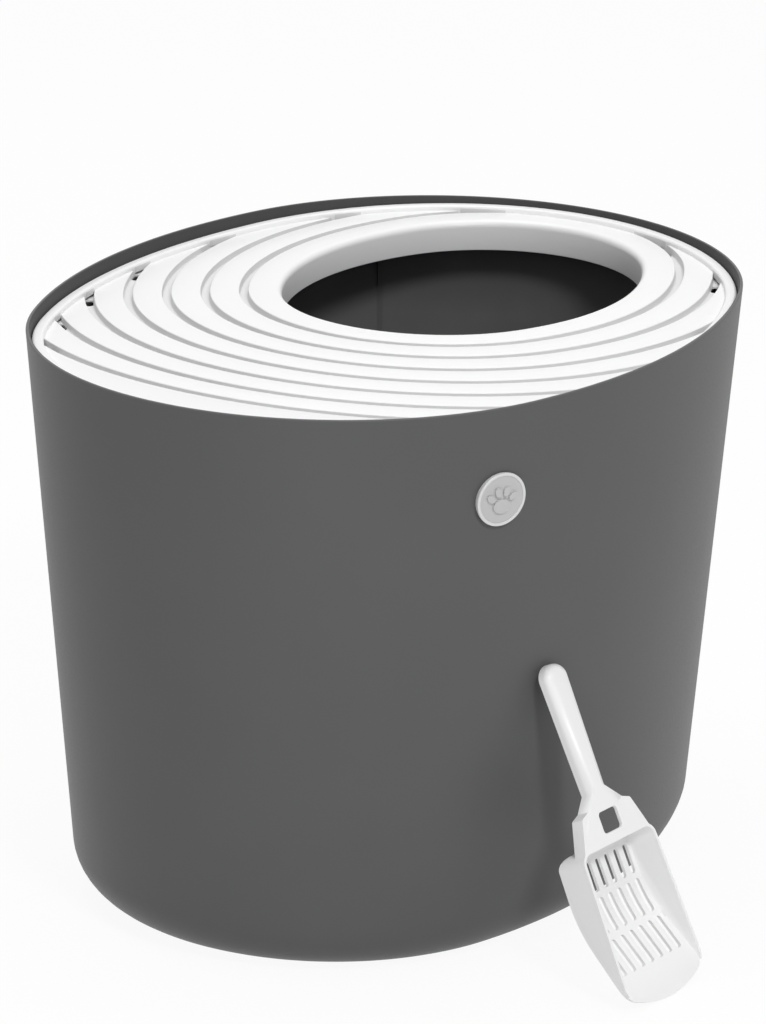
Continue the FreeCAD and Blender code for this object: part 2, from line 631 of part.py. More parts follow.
def make_scoop():
    """White slotted scoop, leaning on the wall with its lip on the floor."""
    scoop = one_solid(fused([bowl_outside(), make_handle()]).cut([bowl_inside()] + scoop_cuts()))
    stand = Rotation(UP, SCOOP_TURN).multiply(Rotation(Vector(1, 0, 0), 90 - SCOOP_LEAN))
    scoop.Placement = Placement(Vector(), stand)
    handle_end = stand.multVec(Vector(0, SCOOP_LENGTH, 0))
    scoop.translate(Vector(SCOOP_X - handle_end.x, -RIM_WIDTH, -scoop.optimalBoundingBox(False, False).ZMin))
    wall = tub_envelope()
    for _ in range(SETTLE_STEPS):
        gap = scoop.distToShape(wall)[0]
        scoop.translate(Vector(0, gap - SCOOP_CLEARANCE, 0))
    return scoop


def main():
    """Build every piece and write one file for each."""
    pieces = {"tub": make_tub(), "lid": make_lid(), "badge": make_badge(),
              "badge_adhesive_pad": make_badge_pad(), "scoop": make_scoop()}
    for name, place in foot_places().items():
        pieces[name] = make_foot(place)
    os.makedirs("parts", exist_ok=True)
    for name, shape in pieces.items():
        shape.exportStep(f"parts/{name}.step")
        box = shape.optimalBoundingBox(False, False)
        print(f"{name}: {len(shape.Solids)} solid, valid {shape.isValid()}, {shape.Volume / 1000:.1f} cm3, "
              f"z {box.ZMin:.2f} to {box.ZMax:.2f}")


if __name__ == "__main__":
    main()
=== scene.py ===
"""Looks of a top-entry litter box: dark oval tub, grooved white lid, slotted scoop, badge and rubber feet.

Metres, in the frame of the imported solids: +Z up, +X along the oval towards the entry hole.
"""

import logging
import math
from dataclasses import dataclass, replace
from enum import Enum

import bmesh
import bpy
from mathutils import Matrix, Vector


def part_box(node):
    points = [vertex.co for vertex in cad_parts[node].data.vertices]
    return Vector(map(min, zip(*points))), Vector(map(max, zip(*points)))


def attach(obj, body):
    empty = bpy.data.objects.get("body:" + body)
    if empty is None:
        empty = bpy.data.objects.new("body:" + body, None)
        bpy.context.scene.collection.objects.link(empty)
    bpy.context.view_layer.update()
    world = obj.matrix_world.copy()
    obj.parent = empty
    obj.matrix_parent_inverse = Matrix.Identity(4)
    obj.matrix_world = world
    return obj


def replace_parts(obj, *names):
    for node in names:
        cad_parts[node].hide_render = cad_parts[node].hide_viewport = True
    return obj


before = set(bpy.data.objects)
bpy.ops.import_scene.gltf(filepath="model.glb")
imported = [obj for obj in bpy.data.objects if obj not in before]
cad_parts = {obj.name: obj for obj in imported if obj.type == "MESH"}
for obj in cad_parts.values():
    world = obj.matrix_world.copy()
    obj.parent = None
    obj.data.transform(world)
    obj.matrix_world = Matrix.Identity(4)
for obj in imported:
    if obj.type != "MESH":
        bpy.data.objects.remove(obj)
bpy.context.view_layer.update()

log = logging.getLogger("litter_box")

Colour = tuple[float, float, float]
Place = tuple[float, float, float]
UP = Vector((0.0, 0.0, 1.0))
MM = 0.001
MERGE_DISTANCE = 1e-6
SPIN_MERGE_DISTANCE = 1e-5
SEARCH_STEPS = 40
CREASE = 35.0
COOL_TOUCH = 0.001


class Body(Enum):
    """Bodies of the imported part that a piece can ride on."""

    BASE = "base_body"
    LID = "lid_body"
    SCOOP = "scoop_body"


class Slot(Enum):
    """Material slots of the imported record."""

    TUB = "dark_grey_plastic"
    WHITE = "white_plastic"
    BADGE = "badge_plastic"
    FOAM = "foam_pad"
    RUBBER = "foot_rubber"


class Carve(Enum):
    """What one mesh does to another."""

    CUT = "DIFFERENCE"
    JOIN = "UNION"
    TRIM = "INTERSECT"


@dataclass(frozen=True)
class Corner:
    """One corner of a section: how far in from the oval or axis, how high, and how round.

    All three are in millimetres, as a drawing gives them.
    """

    inset: float
    height: float
    radius: float = 0.0
    segments: int = 4


class Section:
    """A wire of corners in one upright plane, ready to be spun."""

    def __init__(self, corners: list[Corner], closed: bool) -> None:
        """Keeps the corners in order.

        Args:
            corners: The corners, one after the other along the wire.
            closed: True if the last corner joins the first.
        """
        self.corners = corners
        self.closed = closed

    def draw(self, bm: bmesh.types.BMesh, outermost: Vector, inward: Vector) -> None:
        """Draws the wire in an empty mesh and rounds its corners.

        Args:
            bm: Mesh that takes the wire.
            outermost: Where inset and height are both nothing.
            inward: Level direction in which insets count.
        """
        places = [outermost + inward * (c.inset * MM) + UP * (c.height * MM) for c in self.corners]
        verts = [bm.verts.new(place) for place in places]
        pairs = list(zip(verts, verts[1:]))
        if self.closed:
            pairs.append((verts[-1], verts[0]))
        for pair in pairs:
            bm.edges.new(pair)
        for index, corner in enumerate(self.corners):
            if corner.radius:
                self.round_off(bm, verts[index], places, index)

    def round_off(self, bm: bmesh.types.BMesh, vert: bmesh.types.BMVert, places: list[Vector],
                  index: int) -> None:
        """Rounds one corner to its radius.

        Args:
            bm: Mesh that holds the wire.
            vert: Vertex at the corner.
            places: All corners before any was rounded.
            index: Which corner it is.
        """
        corner = self.corners[index]
        before = places[index] - places[index - 1]
        after = places[(index + 1) % len(places)] - places[index]
        tangent = corner.radius * MM * math.tan(before.angle(after) / 2)
        bmesh.ops.bevel(bm, geom=[vert], offset=tangent, affect="VERTICES", segments=corner.segments,
                        profile=0.5, material=-1)


@dataclass(frozen=True)
class Oval:
    """A smooth oval of four tangent arcs, seen from above: two round ends and two flatter flanks."""

    length: float
    width: float
    flank_radius: float
    centre_x: float = 0.0
    end_steps: int = 72
    flank_steps: int = 44

    @property
    def end_radius(self) -> float:
        """Works out the round ends.

        Returns:
            The radius that makes them tangent to the flanks.
        """
        half_length, half_width = self.length / 2, self.width / 2
        excess = 2 * self.flank_radius * half_width - half_length ** 2 - half_width ** 2
        return excess / (2 * (self.flank_radius - half_length))

    @property
    def end_reach(self) -> float:
        """Distance from the middle of the oval to the centre of each round end."""
        return self.length / 2 - self.end_radius

    @property
    def flank_reach(self) -> float:
        """Distance from the long axis to the centre of the flank on its other side."""
        return self.flank_radius - self.width / 2

    @property
    def joint_angle(self) -> float:
        """Angle from the long axis at which an end turns into a flank."""
        return math.atan2(self.flank_reach, self.end_reach)

    def arc_at(self, angle: float) -> tuple[Vector, float]:
        """Finds the arc whose outward normal takes an angle.

        Args:
            angle: Direction of the normal from +X, in radians.

        Returns:
            The arc's centre and radius.
        """
        side = abs(math.atan2(math.sin(angle), math.cos(angle)))
        if side < self.joint_angle:
            return Vector((self.centre_x + self.end_reach, 0, 0)), self.end_radius
        if side > math.pi - self.joint_angle:
            return Vector((self.centre_x - self.end_reach, 0, 0)), self.end_radius
        centre_y = -math.copysign(self.flank_reach, math.sin(angle))
        return Vector((self.centre_x, centre_y, 0)), self.flank_radius

    def point(self, angle: float, inset: float = 0.0, height: float = 0.0) -> Vector:
        """Gives a point of the oval by its outward normal.

        Args:
            angle: Direction of the normal from +X, in radians.
            inset: How far the point is moved in.
            height: How high it is.

        Returns:
            The point.
        """
        centre, radius = self.arc_at(angle)
        outward = Vector((math.cos(angle), math.sin(angle), 0))
        return centre + outward * (radius - inset) + UP * height

    def depth_inside(self, point: Vector) -> float:
        """How far a point lies inside the oval.

        Args:
            point: The point, whose height doesn't matter.

        Returns:
            The distance to the oval, negative outside it.
        """
        x, y = point.x - self.centre_x, abs(point.y)
        side = math.atan2(y + self.flank_reach, x)
        if self.joint_angle < side < math.pi - self.joint_angle:
            return self.flank_radius - math.hypot(x, y + self.flank_reach)
        return self.end_radius - math.hypot(x - math.copysign(self.end_reach, x), y)

    def spin(self, section: Section) -> bmesh.types.BMesh:
        """Draws a section once round the oval.

        Args:
            section: Its insets count inwards from the oval.

        Returns:
            A mesh of the swept wall, open where the section is open.
        """
        bm = bmesh.new()
        joint = self.joint_angle
        outward = Vector((math.cos(-joint), math.sin(-joint), 0))
        section.draw(bm, self.point(-joint + MERGE_DISTANCE), -outward)
        end_turn, flank_turn = 2 * joint, math.pi - 2 * joint
        turns = [(0.0, end_turn, self.end_steps), (math.pi / 2, flank_turn, self.flank_steps),
                 (math.pi, end_turn, self.end_steps), (-math.pi / 2, flank_turn, self.flank_steps)]
        wire = bm.verts[:] + bm.edges[:]
        for middle, turn, steps in turns:
            centre = self.arc_at(middle)[0]
            spun = bmesh.ops.spin(bm, geom=wire, cent=centre, axis=UP, angle=turn, steps=steps)
            wire = spun["geom_last"]
        bmesh.ops.remove_doubles(bm, verts=bm.verts, dist=SPIN_MERGE_DISTANCE)
        bmesh.ops.recalc_face_normals(bm, faces=bm.faces)
        return bm

    def block(self, inset: float, low: float, high: float) -> bmesh.types.BMesh:
        """Makes an upright solid block of this oval.

        Args:
            inset: How far its wall is moved in, in millimetres.
            low: Height of its lower face, in millimetres.
            high: Height of its upper face, in millimetres.

        Returns:
            The closed mesh.
        """
        bm = self.spin(Section([Corner(inset, low), Corner(inset, high)], closed=False))
        bmesh.ops.holes_fill(bm, edges=bm.edges)
        bmesh.ops.recalc_face_normals(bm, faces=bm.faces)
        return bm


def round_piece(section: Section, steps: int) -> bmesh.types.BMesh:
    """Turns a section once round the Z axis.

    Args:
        section: Its insets count outwards from the axis.
        steps: Facets round the axis.

    Returns:
        The closed mesh.
    """
    bm = bmesh.new()
    section.draw(bm, Vector((0, 0, 0)), Vector((1, 0, 0)))
    wire = bm.verts[:] + bm.edges[:]
    bmesh.ops.spin(bm, geom=wire, cent=(0, 0, 0), axis=UP, angle=2 * math.pi, steps=steps, use_merge=True)
    bmesh.ops.remove_doubles(bm, verts=bm.verts, dist=MERGE_DISTANCE)
    bmesh.ops.recalc_face_normals(bm, faces=bm.faces)
    return bm


def settle(bm: bmesh.types.BMesh, name: str, crease: float = CREASE) -> bpy.types.Object:
    """Turns a mesh in the making into an object at the origin, smooth up to a crease angle.

    Args:
        bm: The mesh, which is freed.
        name: Name of the object.
        crease: Angle in degrees past which an edge stays sharp.

    Returns:
        The new object.
    """
    mesh = bpy.data.meshes.new(name)
    bm.to_mesh(mesh)
    bm.free()
    piece = bpy.data.objects.new(name, mesh)
    bpy.context.scene.collection.objects.link(piece)
    smooth(piece, crease)
    return piece


def smooth(piece: bpy.types.Object, crease: float) -> None:
    """Shades a piece smooth, with sharp edges past the crease angle in degrees."""
    piece.data.shade_smooth()
    piece.data.set_sharp_from_angle(angle=math.radians(crease))


def carve(piece: bpy.types.Object, tool: bpy.types.Object, how: Carve) -> None:
    """Cuts, joins or trims a piece by a tool, and removes the tool.

    Args:
        piece: Object whose mesh changes.
        tool: Object that is used up.
        how: What the tool does.
    """
    modifier = piece.modifiers.new(how.name.lower(), "BOOLEAN")
    modifier.operation = how.value
    modifier.solver = "EXACT"
    modifier.object = tool
    view = bpy.context.evaluated_depsgraph_get()
    made = bpy.data.meshes.new_from_object(piece.evaluated_get(view))
    piece.modifiers.clear()
    old = piece.data
    name = old.name
    piece.data = made
    bpy.data.meshes.remove(old)
    made.name = name
    tool_mesh = tool.data
    bpy.data.objects.remove(tool)
    bpy.data.meshes.remove(tool_mesh)


def stand_for(piece: bpy.types.Object, node: str, body: Body) -> bpy.types.Object:
    """Lets a piece ride on a body and stand for a node, and gives it back."""
    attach(piece, body.value)
    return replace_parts(piece, node)


def finish_with(piece: bpy.types.Object, slot: Slot, *materials: bpy.types.Material) -> None:
    """Gives a piece its materials in the order of its marked faces.

    Args:
        piece: The piece, which has no material yet.
        slot: Material slot of the record; not used.
        materials: One finish, or the finishes of the faces marked nought and one.
    """
    for material in materials:
        piece.data.materials.append(material)


class Shader:
    """A material's node tree, with short ways to add and join nodes."""

    def __init__(self, name: str) -> None:
        """Starts a material with a plain surface node.

        Args:
            name: Name of the material.
        """
        self.material = bpy.data.materials.new(name)
        self.material.use_nodes = True
        self.nodes = self.material.node_tree.nodes
        self.links = self.material.node_tree.links
        self.surface = self.nodes["Principled BSDF"]
        self.place = self.nodes.new("ShaderNodeTexCoord").outputs["Object"]

    def set(self, **values: float | tuple[float, ...]) -> None:
        """Sets sockets of the surface that are the same all over, by name with _ for spaces."""
        for name, value in values.items():
            self.surface.inputs[name.replace("_", " ")].default_value = value

    def noise(self, scale: float, detail: float, roughness: float = 0.5) -> bpy.types.NodeSocket:
        """Adds a noise in object space.

        Args:
            scale: Lumps per metre.
            detail: Octaves.
            roughness: Weight of the finer octaves.

        Returns:
            Its value, about nought to one.
        """
        node = self.nodes.new("ShaderNodeTexNoise")
        node.inputs["Scale"].default_value = scale
        node.inputs["Detail"].default_value = detail
        node.inputs["Roughness"].default_value = roughness
        self.links.new(self.place, node.inputs["Vector"])
        return node.outputs["Fac"]

    def spread(self, value: bpy.types.NodeSocket, low: float, high: float, start: float = 0.3,
               stop: float = 0.7) -> bpy.types.NodeSocket:
        """Maps a value from one range to another, held at both ends.

        Args:
            value: What is mapped.
            low: Result at start.
            high: Result at stop.
            start: Where the value's range begins.
            stop: Where it ends.

        Returns:
            The mapped value.
        """
        node = self.nodes.new("ShaderNodeMapRange")
        for name, number in (("From Min", start), ("From Max", stop), ("To Min", low), ("To Max", high)):
            node.inputs[name].default_value = number
        self.links.new(value, node.inputs["Value"])
        return node.outputs["Result"]

    def height(self) -> bpy.types.NodeSocket:
        """Reads how high a point of the surface lies.

        Returns:
            The height above the floor, in metres.
        """
        node = self.nodes.new("ShaderNodeSeparateXYZ")
        self.links.new(self.place, node.inputs["Vector"])
        return node.outputs["Z"]

    def product(self, first: bpy.types.NodeSocket, second: bpy.types.NodeSocket) -> bpy.types.NodeSocket:
        """Multiplies two values.

        Args:
            first: A value.
            second: Another.

        Returns:
            Their product.
        """
        node = self.nodes.new("ShaderNodeMath")
        node.operation = "MULTIPLY"
        self.links.new(first, node.inputs[0])
        self.links.new(second, node.inputs[1])
        return node.outputs["Value"]

    def tint(self, value: bpy.types.NodeSocket, first: Colour, second: Colour) -> bpy.types.NodeSocket:
        """Blends two colours by a value.

        Args:
            value: Nought for the first colour, one for the second.
            first: A linear colour.
            second: Another.

        Returns:
            The blended colour.
        """
        node = self.nodes.new("ShaderNodeMix")
        node.data_type = "RGBA"
        node.inputs["A"].default_value = (*first, 1.0)
        node.inputs["B"].default_value = (*second, 1.0)
        self.links.new(value, node.inputs["Factor"])
        return node.outputs["Result"]

    def paint(self, socket: bpy.types.NodeSocket, name: str) -> None:
        """Feeds a socket of the surface."""
        self.links.new(socket, self.surface.inputs[name])

    def moulded_grain(self, skin: "GrainedPlastic") -> None:
        """Gives the surface a fine moulded grain, in gloss and in relief.

        Args:
            skin: The plastic that says how fine and deep the grain is.
        """
        grain = self.noise(skin.grain, skin.grain_detail, skin.grain_sharpness)
        self.paint(self.spread(grain, skin.smoothest, skin.roughest), "Roughness")
        self.relief(grain, skin.relief, skin.relief_strength)
        self.set(Specular_IOR_Level=skin.specular)

    def relief(self, value: bpy.types.NodeSocket, height: float, strength: float) -> None:
        """Bumps the surface.

        Args:
            value: Height pattern.
            height: Depth of the pattern in metres.
            strength: How much of it shows.
        """
        node = self.nodes.new("ShaderNodeBump")
        node.inputs["Distance"].default_value = height
        node.inputs["Strength"].default_value = strength
        self.links.new(value, node.inputs["Height"])
        self.links.new(node.outputs["Normal"], self.surface.inputs["Normal"])


@dataclass(frozen=True, kw_only=True)
class GrainedPlastic:
    """What every moulded plastic has: a fine grain, in lumps per metre, and how rough and deep it is."""

    smoothest: float
    roughest: float
    grain: float
    relief: float
    specular: float = 0.5
    grain_detail: float = 2.0
    grain_sharpness: float = 0.6
    relief_strength: float = 0.5


@dataclass(frozen=True)
class MouldedPlastic(GrainedPlastic):
    """Moulded plastic with a slow drift of tone."""

    name: str
    colour: Colour
    shade: Colour
    drift: float = 9.0
    drift_detail: float = 3.0

    def build(self) -> bpy.types.Material:
        """Makes the material.

        Returns:
            The material, ready for a piece.
        """
        shader = Shader(self.name)
        drift = shader.spread(shader.noise(self.drift, self.drift_detail), 0.0, 1.0)
        shader.paint(shader.tint(drift, self.shade, self.colour), "Base Color")
        shader.moulded_grain(self)
        return shader.material


@dataclass(frozen=True)
class PaintedLightPlastic(GrainedPlastic):
    """Satin plastic painted paler below a height, in soft patches: painted light on the lower faces. Metres.
    """

    name: str
    colour: Colour
    painted_light_colour: Colour
    light_low: float
    light_high: float
    least_light: float = 0.75
    patches: float = 16.0
    patch_detail: float = 4.0

    def build(self) -> bpy.types.Material:
        """Makes the material.

        Returns:
            The material, ready for a piece.
        """
        shader = Shader(self.name)
        # Own colour above, blending below a height into a paler colour, painted light, mottled by soft
        # patches.
        depth = shader.spread(shader.height(), 1.0, 0.0, self.light_low, self.light_high)
        patches = shader.spread(shader.noise(self.patches, self.patch_detail), self.least_light, 1.0)
        shader.paint(shader.tint(shader.product(depth, patches), self.colour, self.painted_light_colour), "Base Color")
        shader.moulded_grain(self)
        return shader.material


@dataclass(frozen=True)
class SoftFoam:
    """Closed-cell foam or rubber: matt, pitted and a little dusty."""

    name: str
    colour: Colour
    dust: Colour
    cells: float
    pit: float
    cells_across_patch: float = 12.0
    patch_detail: float = 4.0
    dust_start: float = 0.35
    dust_full: float = 0.8
    cell_detail: float = 2.0
    cell_sharpness: float = 0.7
    smoothest: float = 0.75
    roughest: float = 0.95
    pit_strength: float = 0.6

    def build(self) -> bpy.types.Material:
        """Makes the material.

        Returns:
            The material, ready for a piece.
        """
        shader = Shader(self.name)
        patches = shader.noise(self.cells / self.cells_across_patch, self.patch_detail)
        dust = shader.spread(patches, 0.0, 1.0, self.dust_start, self.dust_full)
        shader.paint(shader.tint(dust, self.colour, self.dust), "Base Color")
        cells = shader.noise(self.cells, self.cell_detail, self.cell_sharpness)
        shader.paint(shader.spread(cells, self.smoothest, self.roughest), "Roughness")
        shader.relief(cells, self.pit, self.pit_strength)
        return shader.material


@dataclass(frozen=True)
class Tub:
    """Tapered oval bucket with a round base edge, inner gussets and pockets for the feet. Millimetres."""

    rim: Oval
    height: float = 370.0
    base_inset: float = 30.0
    wall: float = 2.5
    base_thickness: float = 3.0
    base_edge_radius: float = 34.0
    base_edge_steps: int = 12
    base_ring_width: float = 34.0
    base_rise: float = 1.5
    foot_proud: float = 1.0
    rim_edge_radius: float = 0.9
    rib_top: float = 347.7
    rib_thickness: float = 3.0
    rib_depth: float = 10.0
    rib_drop: float = 48.0
    rib_end_angle: float = 42.0
    rib_flank_angle: float = 9.0
    pocket_radius: float = 10.2
    pocket_roof: float = 3.0
    boss_radius: float = 12.2
    boss_top: float = 6.0
    post_facets: int = 64
    facing_height: float = 250.0

    def wall_inset(self, height: float) -> float:
        """How far the outside of the wall lies in from the rim at a height."""
        return self.base_inset * (self.height - height) / self.height

    def wall_section(self) -> Section:
        """Draws the wall.

        Returns:
            Its section from the middle of the underside, over the rim, to the middle of the inner floor.
        """
        floor = self.foot_proud + self.base_thickness
        ring = self.wall_inset(self.foot_proud) + self.base_edge_radius
        middle = ring + self.base_ring_width
        return Section([
            Corner(middle + self.base_rise, self.foot_proud + self.base_rise),
            Corner(middle, self.foot_proud),
            Corner(self.wall_inset(self.foot_proud), self.foot_proud, self.base_edge_radius,
                   self.base_edge_steps),
            Corner(0, self.height, self.rim_edge_radius),
            Corner(self.wall, self.height, self.rim_edge_radius),
            Corner(self.wall_inset(floor) + self.wall, floor, self.base_edge_radius - self.wall,
                   self.base_edge_steps),
            Corner(middle, floor),
            Corner(middle + self.base_rise, floor + self.base_rise),
        ], closed=False)

    def rib_angles(self) -> list[float]:
        """Spreads the gussets round the wall: two on each round end and two on each flank.

        Returns:
            Their directions from +X, in radians.
        """
        end, flank = self.rib_end_angle, self.rib_flank_angle
        turns = [end, 180 - end, 180 + end, 360 - end, 90 - flank, 90 + flank, 270 - flank, 270 + flank]
        return [math.radians(turn) for turn in turns]

    def add_rib(self, bm: bmesh.types.BMesh, angle: float) -> None:
        """Adds one three-cornered gusset inside the wall, with a flat top for the lid.

        Args:
            bm: Mesh that takes the gusset.
            angle: Direction of the gusset from +X, in radians.
        """
        foot = self.rib_top - self.rib_drop
        half_wall = self.wall / 2
        corners = [(self.wall_inset(self.rib_top) + half_wall, self.rib_top),
                   (self.wall_inset(foot) + half_wall, foot),
                   (self.wall_inset(self.rib_top) + self.wall + self.rib_depth, self.rib_top)]
        along = Vector((-math.sin(angle), math.cos(angle), 0)) * self.rib_thickness * MM
        start = along / -2
        verts = [bm.verts.new(self.rim.point(angle, inset * MM, z * MM) + start) for inset, z in corners]
        face = bm.faces.new(verts)
        grown = bmesh.ops.extrude_face_region(bm, geom=[face], use_keep_orig=True)
        moved = [item for item in grown["geom"] if isinstance(item, bmesh.types.BMVert)]
        bmesh.ops.translate(bm, verts=moved, vec=along)
        new_faces = {f for vert in verts + moved for f in vert.link_faces}
        bmesh.ops.recalc_face_normals(bm, faces=list(new_faces))

    def add_posts(self, bm: bmesh.types.BMesh, places: list[Vector], radius: float, low: float,
                  high: float) -> None:
        """Adds one upright round post at each place.

        Args:
            bm: Mesh that takes the posts.
            places: Where they stand; their height doesn't matter.
            radius: Radius of a post, in millimetres.
            low: Height of its foot, in millimetres.
            high: Height of its top, in millimetres.
        """
        for place in places:
            middle = Matrix.Translation((place.x, place.y, (low + high) / 2 * MM))
            bmesh.ops.create_cone(bm, cap_ends=True, segments=self.post_facets, radius1=radius * MM,
                                  radius2=radius * MM, depth=(high - low) * MM, matrix=middle)

    def build(self, foot_places: list[Vector]) -> bpy.types.Object:
        """Models the tub.

        Args:
            foot_places: Middles of the feet, which sit in pockets of the base.

        Returns:
            The tub, which stands for its node.
        """
        bm = self.rim.spin(self.wall_section())
        bmesh.ops.holes_fill(bm, edges=bm.edges)
        bmesh.ops.recalc_face_normals(bm, faces=bm.faces)
        piece = settle(bm, "tub_shell")
        supports = bmesh.new()
        for angle in self.rib_angles():
            self.add_rib(supports, angle)
        self.add_posts(supports, foot_places, self.boss_radius, self.pocket_roof, self.boss_top)
        carve(piece, settle(supports, "supports"), Carve.JOIN)
        pockets = bmesh.new()
        self.add_posts(pockets, foot_places, self.pocket_radius, 0.0, self.pocket_roof)
        carve(piece, settle(pockets, "pockets"), Carve.CUT)
        smooth(piece, CREASE)
        return stand_for(piece, "tub", Body.BASE)

    def dress(self, piece: bpy.types.Object, outside: bpy.types.Material,
              inside: bpy.types.Material) -> None:
        """Gives the tub its finishes.

        Args:
            piece: The tub.
            outside: Finish of the outer wall, the rim and the underside.
            inside: Darker finish of the faces that look into the tub, painted shade, paler lower down as
                painted light.
        """
        finish_with(piece, Slot.TUB, outside, inside)
        # Faces that look into the tub take the inside finish: painted shade, with painted light lower down.
        heart = UP * self.facing_height * MM
        for face in piece.data.polygons:
            face.material_index = int(face.normal.dot(heart - face.center) > 0)


@dataclass(frozen=True)
class Lid:
    """Drop-in lid: border and skirt, crowned field with grooves and drains, entry hole with a collar.

    Sizes are in millimetres.
    """

    tub: Tub
    hole_shape: Oval
    hole_gap: float = 17.7
    border_top: float = 364.0
    clearance: float = 0.8
    plate: float = 2.5
    border_width: float = 7.5
    border_height: float = 3.6
    border_edge_radius: float = 2.0
    border_edge_steps: int = 5
    skirt_depth: float = 16.0
    skirt_wall: float = 2.2
    foot_radius: float = 0.5
    hole_edge_radius: float = 4.0
    hole_edge_steps: int = 6
    collar_depth: float = 18.0
    collar_wall: float = 2.5
    collar_foot_radius: float = 0.6
    groove_first: float = 24.5
    groove_pitch: float = 24.65
    grooves: int = 7
    groove_top_width: float = 6.0
    groove_bottom_width: float = 5.2
    groove_depth: float = 4.2
    groove_wall: float = 1.2
    groove_edge_radius: float = 0.6
    groove_edge_steps: int = 3
    field_reach: float = 222.0
    trim_overlap: float = 1.0
    trim_below: float = 40.0
    trim_above: float = 20.0
    drain_width: float = 5.0
    drain_length: float = 14.0
    drain_setback: float = -3.0
    drain_cut: float = 16.8
    drain_end_share: float = 0.49
    drain_end_steps: int = 5
    groove_skin: float = 0.2
    crown_rise: float = 2.6
    crown_fall: float = 4.4
    crown_half_width: float = 200.0

    @property
    def field_top(self) -> float:
        """Height of the grooved field."""
        return self.border_top - self.border_height

    @property
    def edge(self) -> float:
        """How far the outside of the border lies in from the rim."""
        return self.inset_at(self.border_top)

    @property
    def field_edge(self) -> float:
        """How far the inside of the border lies in from the rim."""
        return self.edge + self.border_width

    @property
    def hole(self) -> Oval:
        """The entry hole, set towards the +X end, where a gap is left between it and the border."""
        far_end = self.tub.rim.length / 2 - (self.field_edge + self.hole_gap) * MM
        return replace(self.hole_shape, centre_x=far_end - self.hole_shape.length / 2)

    def inset_at(self, height: float) -> float:
        """How far the outside of the lid lies in from the rim at a height."""
        return self.tub.wall_inset(height) + self.tub.wall + self.clearance

    def offsets(self) -> list[float]:
        """Distance of each groove from the hole."""
        return [self.groove_first + self.groove_pitch * step for step in range(self.grooves)]

    def border_section(self) -> Section:
        """Draws the border with its skirt.

        Returns:
            Its closed section, hollow underneath.
        """
        bottom = self.border_top - self.skirt_depth
        under = self.field_top - self.plate
        roof = self.border_top - self.plate
        outer, inner = self.edge, self.field_edge
        wall = self.skirt_wall
        return Section([
            Corner(self.inset_at(bottom), bottom, self.foot_radius),
            Corner(outer, under),
            Corner(outer, self.border_top, self.border_edge_radius, self.border_edge_steps),
            Corner(inner, self.border_top, self.border_edge_radius, self.border_edge_steps),
            Corner(inner, under),
            Corner(inner - wall, under),
            Corner(inner - wall, roof),
            Corner(outer + wall, roof),
            Corner(outer + wall, under),
            Corner(self.inset_at(bottom) + wall, bottom, self.foot_radius),
        ], closed=True)

    def field_section(self) -> Section:
        """Draws the collar, the rounded lip and the grooved field.

        Returns:
            Their closed section, from the hole outwards and back along the underside.
        """
        top, under = self.field_top, self.field_top - self.plate
        collar_foot = top - self.collar_depth
        soft = self.groove_edge_radius
        half_top, half_bottom = self.groove_top_width / 2, self.groove_bottom_width / 2
        wall = self.groove_wall
        floor = top - self.groove_depth
        corners = [Corner(0, collar_foot, self.collar_foot_radius),
                   Corner(0, top, self.hole_edge_radius, self.hole_edge_steps)]
        for offset in self.offsets():
            shape = [(half_top, top), (half_bottom, floor), (-half_bottom, floor), (-half_top, top)]
            corners += [Corner(aside - offset, height, soft, self.groove_edge_steps)
                        for aside, height in shape]
        corners += [Corner(-self.field_reach, top), Corner(-self.field_reach, under)]
        for offset in reversed(self.offsets()):
            shape = [(-half_top - wall, under), (-half_bottom - wall, floor - wall),
                     (half_bottom + wall, floor - wall), (half_top + wall, under)]
            corners += [Corner(aside - offset, height) for aside, height in shape]
        corners += [Corner(-self.collar_wall, under),
                    Corner(-self.collar_wall, collar_foot, self.collar_foot_radius)]
        return Section(corners, closed=True)

    def groove_end(self, offset: float) -> float:
        """Finds where a groove comes up to the border.

        Args:
            offset: Distance of the groove from the hole.

        Returns:
            Direction of that place, seen from the hole, in radians.
        """
        edge = -(offset + self.groove_top_width / 2) * MM
        outside, inside = 0.0, math.pi
        for _ in range(SEARCH_STEPS):
            middle = (outside + inside) / 2
            if self.tub.rim.depth_inside(self.hole.point(middle, edge)) > self.field_edge * MM:
                inside = middle
            else:
                outside = middle
        return inside

    def drain_tools(self) -> bpy.types.Object:
        """Makes the round-ended slots that open the ends of the grooves.

        Returns:
            One object that holds them all.
        """
        bm = bmesh.new()
        height = self.drain_cut * MM
        size = Vector((self.drain_width * MM, self.drain_length * MM, height))
        for offset in self.offsets():
            end = self.groove_end(offset)
            radius = self.hole.arc_at(end)[1] + offset * MM
            end += (self.drain_setback + self.drain_length / 2) * MM / radius
            for angle in (end, -end):
                place = self.hole.point(angle, -offset * MM, (self.field_top - self.groove_depth) * MM)
                turn = Matrix.LocRotScale(place, Matrix.Rotation(angle, 3, "Z"), size)
                cube = bmesh.ops.create_cube(bm, size=1.0, matrix=turn)
                upright = {edge for vert in cube["verts"] for edge in vert.link_edges
                           if abs(edge.verts[0].co.z - edge.verts[1].co.z) > height / 2}
                bmesh.ops.bevel(bm, geom=list(upright), offset=self.drain_end_share * self.drain_width * MM,
                                affect="EDGES", segments=self.drain_end_steps, profile=0.5, material=-1)
        return settle(bm, "drain_tools")

    def mark_grooves(self, piece: bpy.types.Object) -> None:
        """Marks the faces inside the grooves, which take the darker second finish of the lid, painted shade.

        Args:
            piece: The lid, before it is crowned.
        """
        hole = self.hole
        half_width = self.groove_top_width / 2
        top = self.field_top - self.groove_skin
        under = self.field_top - self.groove_depth - self.groove_wall / 2
        # Faces inside the grooves get the darker finish: painted shade.
        for face in piece.data.polygons:
            spread = -hole.depth_inside(face.center) / MM
            aside = min(abs(spread - offset) for offset in self.offsets())
            face.material_index = int(aside < half_width and under < face.center.z / MM < top)

